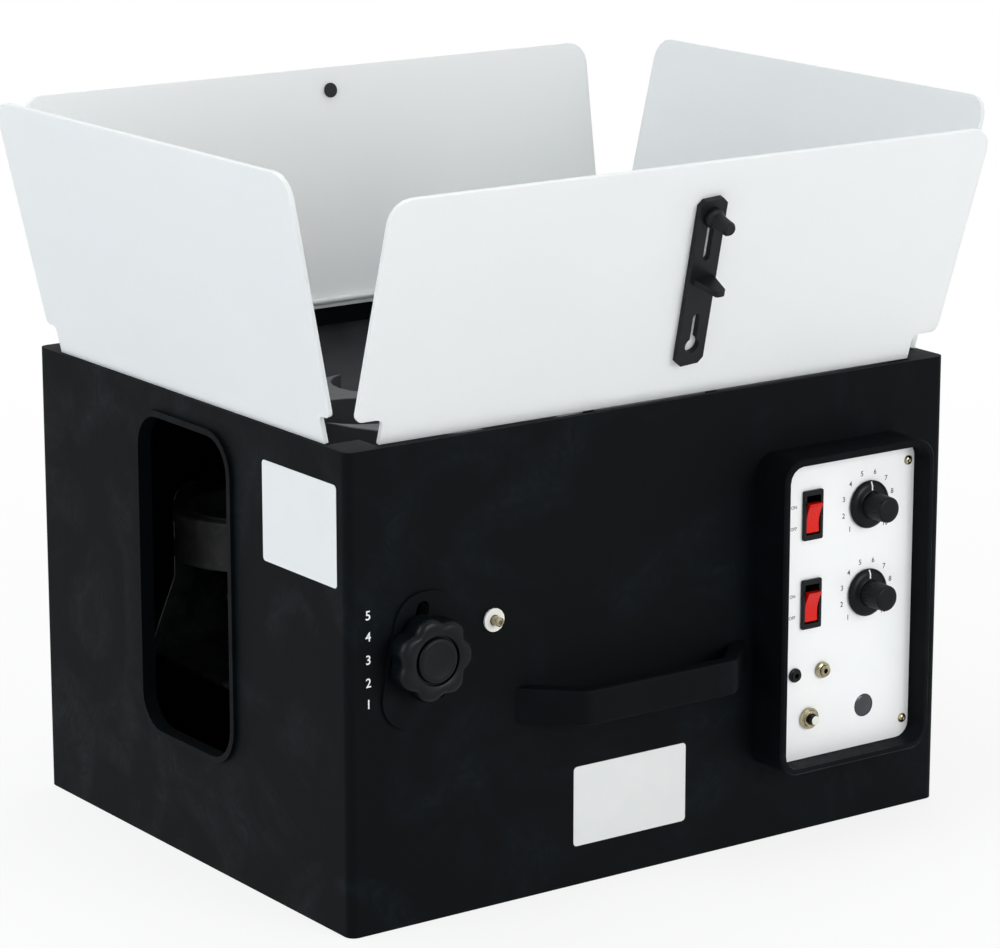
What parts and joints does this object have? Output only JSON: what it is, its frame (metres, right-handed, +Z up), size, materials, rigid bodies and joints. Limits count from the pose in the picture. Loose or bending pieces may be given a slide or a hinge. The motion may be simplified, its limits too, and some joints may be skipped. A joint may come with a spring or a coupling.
{
  "type": "tennis ball machine",
  "caption": "Portable tennis ball machine: a black moulded housing with a tall ball outlet and a control panel, under an open hopper of four fold-down white sheets.",
  "frame": {"origin": "centre of the housing's base, on the floor plane", "axes": "+Z up; the control panel and the handle face -Y, the balls leave towards -X, the battery is towards +X"},
  "size_m": [0.53, 0.4432, 0.4598],
  "materials": {
    "black": "black moulded plastic with a fine grain",
    "sheet": "white translucent plastic sheet, satin",
    "plate": "white painted aluminium, satin",
    "button": "black glossy plastic",
    "grey": "grey moulded plastic",
    "nylon": "natural white nylon",
    "rubber": "black rubber, worn matte",
    "red": "glossy red plastic",
    "smoke": "smoked lens",
    "board": "green circuit board",
    "zinc": "zinc-plated steel",
    "steel": "nickel-plated steel"
  },
  "bodies": {
    "frame": {"housing": "black", "base_plate": "black", "hopper_floor": "black", "feed_gearmotor": "zinc", "control_plate": "plate", "power_switch": "black", "oscillator_switch": "black", "speed_pot": "zinc", "feed_pot": "zinc", "black_jack": "black", "metal_jack": "steel", "reset_breaker": "steel", "remote_sensor": "smoke", "circuit_board": "board", "battery": "black", "battery_band": "zinc", "pivot_bushing_front": "nylon", "pivot_bushing_back": "nylon", "front_hinge_rod": "steel", "back_hinge_rod": "steel", "left_hinge_rod": "steel", "right_hinge_rod": "steel"},
    "front_sheet": {"front_panel": "sheet"},
    "back_sheet": {"back_panel": "sheet", "catch_stud": "black"},
    "left_sheet": {"left_panel": "sheet"},
    "right_sheet": {"right_panel": "sheet"},
    "latch_pivot": {"latch_knob": "black"},
    "latch": {"latch_strap": "black"},
    "cradle": {"tilt_cradle": "zinc", "elevation_nut": "zinc", "pivot_pin_front": "steel", "pivot_pin_back": "steel", "yaw_post": "zinc", "oscillator_gearmotor": "zinc"},
    "clamp_knob": {"elevation_knob": "black", "elevation_stud": "steel"},
    "crank": {"oscillator_crank": "zinc"},
    "head": {"head_plate": "zinc", "ball_guide": "black", "throw_motor_front": "zinc", "throw_motor_back": "zinc", "oscillator_rivet": "steel"},
    "link": {"oscillator_link": "zinc"},
    "front_wheel": {"throw_hub_front": "grey", "throw_tyre_front": "rubber"},
    "back_wheel": {"throw_hub_back": "grey", "throw_tyre_back": "rubber"},
    "feed_disc": {"feed_rotor": "grey"},
    "power_button": {"power_rocker": "red"},
    "oscillator_button": {"oscillator_rocker": "red"},
    "speed_control": {"speed_dial": "black"},
    "feed_control": {"feed_dial": "black"},
    "reset_push": {"reset_button": "button"}
  },
  "joints": [
    {"name": "front_fold", "type": "hinge", "parent": "frame", "child": "front_sheet", "pos_m": [0, -0.1698, 0.3019], "axis": [-1, 0, 0], "range_deg": [0, 108]},
    {"name": "back_fold", "type": "hinge", "parent": "frame", "child": "back_sheet", "pos_m": [0, 0.1698, 0.3019], "axis": [1, 0, 0], "range_deg": [0, 100]},
    {"name": "left_fold", "type": "hinge", "parent": "frame", "child": "left_sheet", "pos_m": [-0.2205, 0, 0.2984], "axis": [0, 1, 0], "range_deg": [0, 102]},
    {"name": "right_fold", "type": "hinge", "parent": "frame", "child": "right_sheet", "pos_m": [0.2205, 0, 0.2984], "axis": [0, -1, 0], "range_deg": [0, 105]},
    {"name": "latch_swing", "type": "hinge", "parent": "front_sheet", "child": "latch_pivot", "pos_m": [0.0085, -0.20735, 0.41745], "axis": [0, -0.9511, -0.309], "range_deg": [-184.5, 0]},
    {"name": "latch_slide", "type": "slide", "parent": "latch_pivot", "child": "latch", "axis": [-0.0785, -0.3081, 0.9481], "range_m": [0, 0.027]},
    {"name": "tilt", "type": "hinge", "parent": "frame", "child": "cradle", "pos_m": [-0.1253, 0, 0.18], "axis": [0, 1, 0], "range_deg": [-30, 30]},
    {"name": "elevation_knob_turn", "type": "hinge", "parent": "cradle", "child": "clamp_knob", "pos_m": [-0.17796, -0.1828, 0.16804], "axis": [0, -1, 0], "range_deg": [0, 360]},
    {"name": "sweep", "type": "hinge", "parent": "cradle", "child": "head", "pos_m": [-0.1253, 0, 0.18], "axis": [0, 0, 1], "range_deg": [-10, 10]},
    {"name": "link_turn", "type": "hinge", "parent": "head", "child": "link", "pos_m": [-0.0713, 0, 0.1305], "axis": [0, 0, 1], "range_deg": [-15, 15]},
    {"name": "crank_turn", "type": "hinge", "parent": "cradle", "child": "crank", "pos_m": [-0.0713, 0.052, 0.1255], "axis": [0, 0, 1], "continuous": true},
    {"name": "front_wheel_spin", "type": "hinge", "parent": "head", "child": "front_wheel", "pos_m": [-0.1253, -0.084, 0.18], "axis": [0, 0, 1], "continuous": true},
    {"name": "back_wheel_spin", "type": "hinge", "parent": "head", "child": "back_wheel", "pos_m": [-0.1253, 0.084, 0.18], "axis": [0, 0, 1], "continuous": true},
    {"name": "feed_turn", "type": "hinge", "parent": "frame", "child": "feed_disc", "pos_m": [-0.0373, 0, 0.24], "axis": [0, 0, 1], "continuous": true},
    {"name": "power_rock", "type": "hinge", "parent": "frame", "child": "power_button", "pos_m": [0.10745, -0.191, 0.21275], "axis": [-1, 0, 0], "range_deg": [0, 24]},
    {"name": "oscillator_rock", "type": "hinge", "parent": "frame", "child": "oscillator_button", "pos_m": [0.10745, -0.191, 0.15525], "axis": [-1, 0, 0], "range_deg": [0, 24]},
    {"name": "speed_turn", "type": "hinge", "parent": "frame", "child": "speed_control", "pos_m": [0.15345, -0.1955, 0.21275], "axis": [0, -1, 0], "range_deg": [-135, 135]},
    {"name": "feed_dial_turn", "type": "hinge", "parent": "frame", "child": "feed_control", "pos_m": [0.15345, -0.1955, 0.15525], "axis": [0, -1, 0], "range_deg": [-135, 135]},
    {"name": "reset_press", "type": "slide", "parent": "frame", "child": "reset_push", "axis": [0, 1, 0], "range_m": [0, 0.0025], "stiffness_N_per_m": 150, "springref_m": -0.002}
  ]
}
